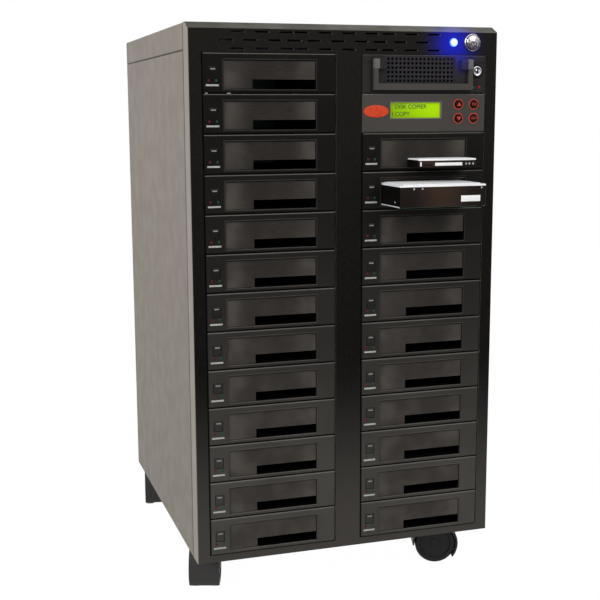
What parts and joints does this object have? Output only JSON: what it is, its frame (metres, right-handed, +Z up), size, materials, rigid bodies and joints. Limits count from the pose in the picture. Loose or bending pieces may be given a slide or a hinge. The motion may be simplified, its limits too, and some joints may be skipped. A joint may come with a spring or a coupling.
{
  "type": "drive duplicator tower",
  "caption": "Tower drive duplicator: two columns of sprung-flap disk racks, keyed source drawer, display with keys, on casters.",
  "frame": {"origin": "on the floor under the middle of the box round the whole machine", "axes": "+Z up, +Y towards the back, +X to the right seen from the front"},
  "size_m": [0.3556, 0.4688, 0.6522],
  "materials": {
    "case_paint": "fine-textured warm grey powder coat",
    "front_paint": "satin black powder coat",
    "zinc_sheet": "zinc-plated sheet",
    "bezel_plastic": "matte black moulding",
    "rack_plastic": "matte black moulding",
    "flap_plastic": "matte warm grey moulding",
    "handle_plastic": "matte grey moulding",
    "panel_plastic": "matte dark grey moulding",
    "button_plastic": "glossy black key",
    "chrome": "polished",
    "lens": "clear lamps and display glass",
    "board_green": "solder-masked board",
    "drive_metal": "cast and pressed",
    "screw_steel": "plated",
    "caster_plastic": "dark grey nylon",
    "wheel_plastic": "black nylon"
  },
  "bodies": {
    "case": {"bay_walls": "zinc_sheet", "chassis_pan": "zinc_sheet", "circuit_boards": "board_green", "control_panel": "panel_plastic", "fan_frame": "rack_plastic", "flaps_held": "flap_plastic", "front_panel": "front_paint", "indicator_lenses": "lens", "power_ring": "chrome", "power_supply": "zinc_sheet", "rack_bezels": "bezel_plastic", "rack_buttons": "bezel_plastic", "rack_housings": "rack_plastic", "screws": "screw_steel", "side_panel_left": "case_paint", "side_panel_right": "case_paint", "source_frame": "bezel_plastic", "top_cover": "case_paint"},
    "caster_back_left_housing": {"caster_back_left_housing": "caster_plastic"},
    "caster_back_left_wheels": {"caster_back_left_wheels": "wheel_plastic"},
    "caster_back_right_housing": {"caster_back_right_housing": "caster_plastic"},
    "caster_back_right_wheels": {"caster_back_right_wheels": "wheel_plastic"},
    "caster_front_left_housing": {"caster_front_left_housing": "caster_plastic"},
    "caster_front_left_wheels": {"caster_front_left_wheels": "wheel_plastic"},
    "caster_front_right_housing": {"caster_front_right_housing": "caster_plastic"},
    "caster_front_right_wheels": {"caster_front_right_wheels": "wheel_plastic"},
    "drive_large": {"drive_large": "drive_metal"},
    "drive_small": {"drive_small": "drive_metal"},
    "fan_rotor": {"fan_rotor": "rack_plastic"},
    "flap_l01": {"flap_l01": "flap_plastic"},
    "flap_l02": {"flap_l02": "flap_plastic"},
    "flap_l03": {"flap_l03": "flap_plastic"},
    "flap_l04": {"flap_l04": "flap_plastic"},
    "flap_l05": {"flap_l05": "flap_plastic"},
    "flap_l06": {"flap_l06": "flap_plastic"},
    "flap_l07": {"flap_l07": "flap_plastic"},
    "flap_l08": {"flap_l08": "flap_plastic"},
    "flap_l09": {"flap_l09": "flap_plastic"},
    "flap_l10": {"flap_l10": "flap_plastic"},
    "flap_l11": {"flap_l11": "flap_plastic"},
    "flap_l12": {"flap_l12": "flap_plastic"},
    "flap_l13": {"flap_l13": "flap_plastic"},
    "flap_r05": {"flap_r05": "flap_plastic"},
    "flap_r06": {"flap_r06": "flap_plastic"},
    "flap_r07": {"flap_r07": "flap_plastic"},
    "flap_r08": {"flap_r08": "flap_plastic"},
    "flap_r09": {"flap_r09": "flap_plastic"},
    "flap_r10": {"flap_r10": "flap_plastic"},
    "flap_r11": {"flap_r11": "flap_plastic"},
    "flap_r12": {"flap_r12": "flap_plastic"},
    "flap_r13": {"flap_r13": "flap_plastic"},
    "panel_button_down": {"panel_button_down": "button_plastic"},
    "panel_button_enter": {"panel_button_enter": "button_plastic"},
    "panel_button_escape": {"panel_button_escape": "button_plastic"},
    "panel_button_up": {"panel_button_up": "button_plastic"},
    "power_button": {"power_button": "chrome"},
    "source_handle": {"source_handle": "handle_plastic"},
    "source_lock": {"source_lock": "chrome"},
    "source_tray": {"source_tray": "bezel_plastic", "source_grille": "front_paint"}
  },
  "joints": [
    {"name": "source_tray_slide", "type": "slide", "parent": "case", "child": "source_tray", "axis": [0, -1, 0], "range_m": [0, 0.14]},
    {"name": "source_handle_hinge", "type": "hinge", "parent": "source_tray", "child": "source_handle", "pos_m": [0.0858, -0.18479, 0.61215], "axis": [-1, 0, 0], "range_deg": [0, 90]},
    {"name": "source_lock_turn", "type": "hinge", "parent": "case", "child": "source_lock", "pos_m": [0.1522, -0.17939, 0.60265], "axis": [0, 1, 0], "range_deg": [0, 90]},
    {"name": "panel_button_up_press", "type": "slide", "parent": "case", "child": "panel_button_up", "axis": [0, 1, 0], "range_m": [0, 0.001], "stiffness_N_per_m": 600, "springref_m": -0.0006},
    {"name": "panel_button_escape_press", "type": "slide", "parent": "case", "child": "panel_button_escape", "axis": [0, 1, 0], "range_m": [0, 0.001], "stiffness_N_per_m": 600, "springref_m": -0.0006},
    {"name": "panel_button_down_press", "type": "slide", "parent": "case", "child": "panel_button_down", "axis": [0, 1, 0], "range_m": [0, 0.001], "stiffness_N_per_m": 600, "springref_m": -0.0006},
    {"name": "panel_button_enter_press", "type": "slide", "parent": "case", "child": "panel_button_enter", "axis": [0, 1, 0], "range_m": [0, 0.001], "stiffness_N_per_m": 600, "springref_m": -0.0006},
    {"name": "power_button_press", "type": "slide", "parent": "case", "child": "power_button", "axis": [0, 1, 0], "range_m": [0, 0.0015], "stiffness_N_per_m": 600, "springref_m": -0.0008},
    {"name": "drive_large_slide", "type": "slide", "parent": "case", "child": "drive_large", "axis": [0, -1, 0], "range_m": [-0.058, 0.092]},
    {"name": "drive_small_slide", "type": "slide", "parent": "case", "child": "drive_small", "axis": [0, -1, 0], "range_m": [-0.028, 0.071]},
    {"name": "fan_spin", "type": "hinge", "parent": "case", "child": "fan_rotor", "pos_m": [-0.0821, 0.18871, 0.5632], "axis": [0, 1, 0], "continuous": true},
    {"name": "caster_front_left_swivel", "type": "hinge", "parent": "case", "child": "caster_front_left_housing", "pos_m": [-0.1558, -0.11339, 0.06], "axis": [0, 0, 1], "continuous": true},
    {"name": "caster_front_left_roll", "type": "hinge", "parent": "caster_front_left_housing", "child": "caster_front_left_wheels", "pos_m": [-0.15129, -0.09909, 0.025], "axis": [0.9537, -0.3007, 0], "continuous": true},
    {"name": "caster_front_right_swivel", "type": "hinge", "parent": "case", "child": "caster_front_right_housing", "pos_m": [0.1558, -0.11339, 0.06], "axis": [0, 0, 1], "continuous": true},
    {"name": "caster_front_right_roll", "type": "hinge", "parent": "caster_front_right_housing", "child": "caster_front_right_wheels", "pos_m": [0.14149, -0.10888, 0.025], "axis": [0.3007, 0.9537, 0], "continuous": true},
    {"name": "caster_back_left_swivel", "type": "hinge", "parent": "case", "child": "caster_back_left_housing", "pos_m": [-0.1558, 0.18811, 0.06], "axis": [0, 0, 1], "continuous": true},
    {"name": "caster_back_left_roll", "type": "hinge", "parent": "caster_back_left_housing", "child": "caster_back_left_wheels", "pos_m": [-0.15319, 0.20288, 0.025], "axis": [0.9848, -0.1736, 0], "continuous": true},
    {"name": "caster_back_right_swivel", "type": "hinge", "parent": "case", "child": "caster_back_right_housing", "pos_m": [0.1558, 0.18811, 0.06], "axis": [0, 0, 1], "continuous": true},
    {"name": "caster_back_right_roll", "type": "hinge", "parent": "caster_back_right_housing", "child": "caster_back_right_wheels", "pos_m": [0.15192, 0.2026, 0.025], "axis": [0.9659, 0.2588, 0], "continuous": true},
    {"name": "flap_l01_hinge", "type": "hinge", "parent": "case", "child": "flap_l01", "pos_m": [-0.0893, -0.17819, 0.61135], "axis": [1, 0, 0], "range_deg": [0, 90], "stiffness_Nm_per_rad": 0.002, "springref_deg": -28.65},
    {"name": "flap_l02_hinge", "type": "hinge", "parent": "case", "child": "flap_l02", "pos_m": [-0.0893, -0.17819, 0.56885], "axis": [1, 0, 0], "range_deg": [0, 90], "stiffness_Nm_per_rad": 0.002, "springref_deg": -28.65},
    {"name": "flap_l03_hinge", "type": "hinge", "parent": "case", "child": "flap_l03", "pos_m": [-0.0893, -0.17819, 0.52635], "axis": [1, 0, 0], "range_deg": [0, 90], "stiffness_Nm_per_rad": 0.002, "springref_deg": -28.65},
    {"name": "flap_l04_hinge", "type": "hinge", "parent": "case", "child": "flap_l04", "pos_m": [-0.0893, -0.17819, 0.48385], "axis": [1, 0, 0], "range_deg": [0, 90], "stiffness_Nm_per_rad": 0.002, "springref_deg": -28.65},
    {"name": "flap_l05_hinge", "type": "hinge", "parent": "case", "child": "flap_l05", "pos_m": [-0.0893, -0.17819, 0.44135], "axis": [1, 0, 0], "range_deg": [0, 90], "stiffness_Nm_per_rad": 0.002, "springref_deg": -28.65},
    {"name": "flap_l06_hinge", "type": "hinge", "parent": "case", "child": "flap_l06", "pos_m": [-0.0893, -0.17819, 0.39885], "axis": [1, 0, 0], "range_deg": [0, 90], "stiffness_Nm_per_rad": 0.002, "springref_deg": -28.65},
    {"name": "flap_l07_hinge", "type": "hinge", "parent": "case", "child": "flap_l07", "pos_m": [-0.0893, -0.17819, 0.35635], "axis": [1, 0, 0], "range_deg": [0, 90], "stiffness_Nm_per_rad": 0.002, "springref_deg": -28.65},
    {"name": "flap_l08_hinge", "type": "hinge", "parent": "case", "child": "flap_l08", "pos_m": [-0.0893, -0.17819, 0.31385], "axis": [1, 0, 0], "range_deg": [0, 90], "stiffness_Nm_per_rad": 0.002, "springref_deg": -28.65},
    {"name": "flap_l09_hinge", "type": "hinge", "parent": "case", "child": "flap_l09", "pos_m": [-0.0893, -0.17819, 0.27135], "axis": [1, 0, 0], "range_deg": [0, 90], "stiffness_Nm_per_rad": 0.002, "springref_deg": -28.65},
    {"name": "flap_l10_hinge", "type": "hinge", "parent": "case", "child": "flap_l10", "pos_m": [-0.0893, -0.17819, 0.22885], "axis": [1, 0, 0], "range_deg": [0, 90], "stiffness_Nm_per_rad": 0.002, "springref_deg": -28.65},
    {"name": "flap_l11_hinge", "type": "hinge", "parent": "case", "child": "flap_l11", "pos_m": [-0.0893, -0.17819, 0.18635], "axis": [1, 0, 0], "range_deg": [0, 90], "stiffness_Nm_per_rad": 0.002, "springref_deg": -28.65},
    {"name": "flap_l12_hinge", "type": "hinge", "parent": "case", "child": "flap_l12", "pos_m": [-0.0893, -0.17819, 0.14385], "axis": [1, 0, 0], "range_deg": [0, 90], "stiffness_Nm_per_rad": 0.002, "springref_deg": -28.65},
    {"name": "flap_l13_hinge", "type": "hinge", "parent": "case", "child": "flap_l13", "pos_m": [-0.0893, -0.17819, 0.10135], "axis": [1, 0, 0], "range_deg": [0, 90], "stiffness_Nm_per_rad": 0.002, "springref_deg": -28.65},
    {"name": "flap_r05_hinge", "type": "hinge", "parent": "case", "child": "flap_r05", "pos_m": [0.0893, -0.17819, 0.44135], "axis": [1, 0, 0], "range_deg": [0, 90], "stiffness_Nm_per_rad": 0.002, "springref_deg": -28.65},
    {"name": "flap_r06_hinge", "type": "hinge", "parent": "case", "child": "flap_r06", "pos_m": [0.0893, -0.17819, 0.39885], "axis": [1, 0, 0], "range_deg": [0, 90], "stiffness_Nm_per_rad": 0.002, "springref_deg": -28.65},
    {"name": "flap_r07_hinge", "type": "hinge", "parent": "case", "child": "flap_r07", "pos_m": [0.0893, -0.17819, 0.35635], "axis": [1, 0, 0], "range_deg": [0, 90], "stiffness_Nm_per_rad": 0.002, "springref_deg": -28.65},
    {"name": "flap_r08_hinge", "type": "hinge", "parent": "case", "child": "flap_r08", "pos_m": [0.0893, -0.17819, 0.31385], "axis": [1, 0, 0], "range_deg": [0, 90], "stiffness_Nm_per_rad": 0.002, "springref_deg": -28.65},
    {"name": "flap_r09_hinge", "type": "hinge", "parent": "case", "child": "flap_r09", "pos_m": [0.0893, -0.17819, 0.27135], "axis": [1, 0, 0], "range_deg": [0, 90], "stiffness_Nm_per_rad": 0.002, "springref_deg": -28.65},
    {"name": "flap_r10_hinge", "type": "hinge", "parent": "case", "child": "flap_r10", "pos_m": [0.0893, -0.17819, 0.22885], "axis": [1, 0, 0], "range_deg": [0, 90], "stiffness_Nm_per_rad": 0.002, "springref_deg": -28.65},
    {"name": "flap_r11_hinge", "type": "hinge", "parent": "case", "child": "flap_r11", "pos_m": [0.0893, -0.17819, 0.18635], "axis": [1, 0, 0], "range_deg": [0, 90], "stiffness_Nm_per_rad": 0.002, "springref_deg": -28.65},
    {"name": "flap_r12_hinge", "type": "hinge", "parent": "case", "child": "flap_r12", "pos_m": [0.0893, -0.17819, 0.14385], "axis": [1, 0, 0], "range_deg": [0, 90], "stiffness_Nm_per_rad": 0.002, "springref_deg": -28.65},
    {"name": "flap_r13_hinge", "type": "hinge", "parent": "case", "child": "flap_r13", "pos_m": [0.0893, -0.17819, 0.10135], "axis": [1, 0, 0], "range_deg": [0, 90], "stiffness_Nm_per_rad": 0.002, "springref_deg": -28.65}
  ]
}
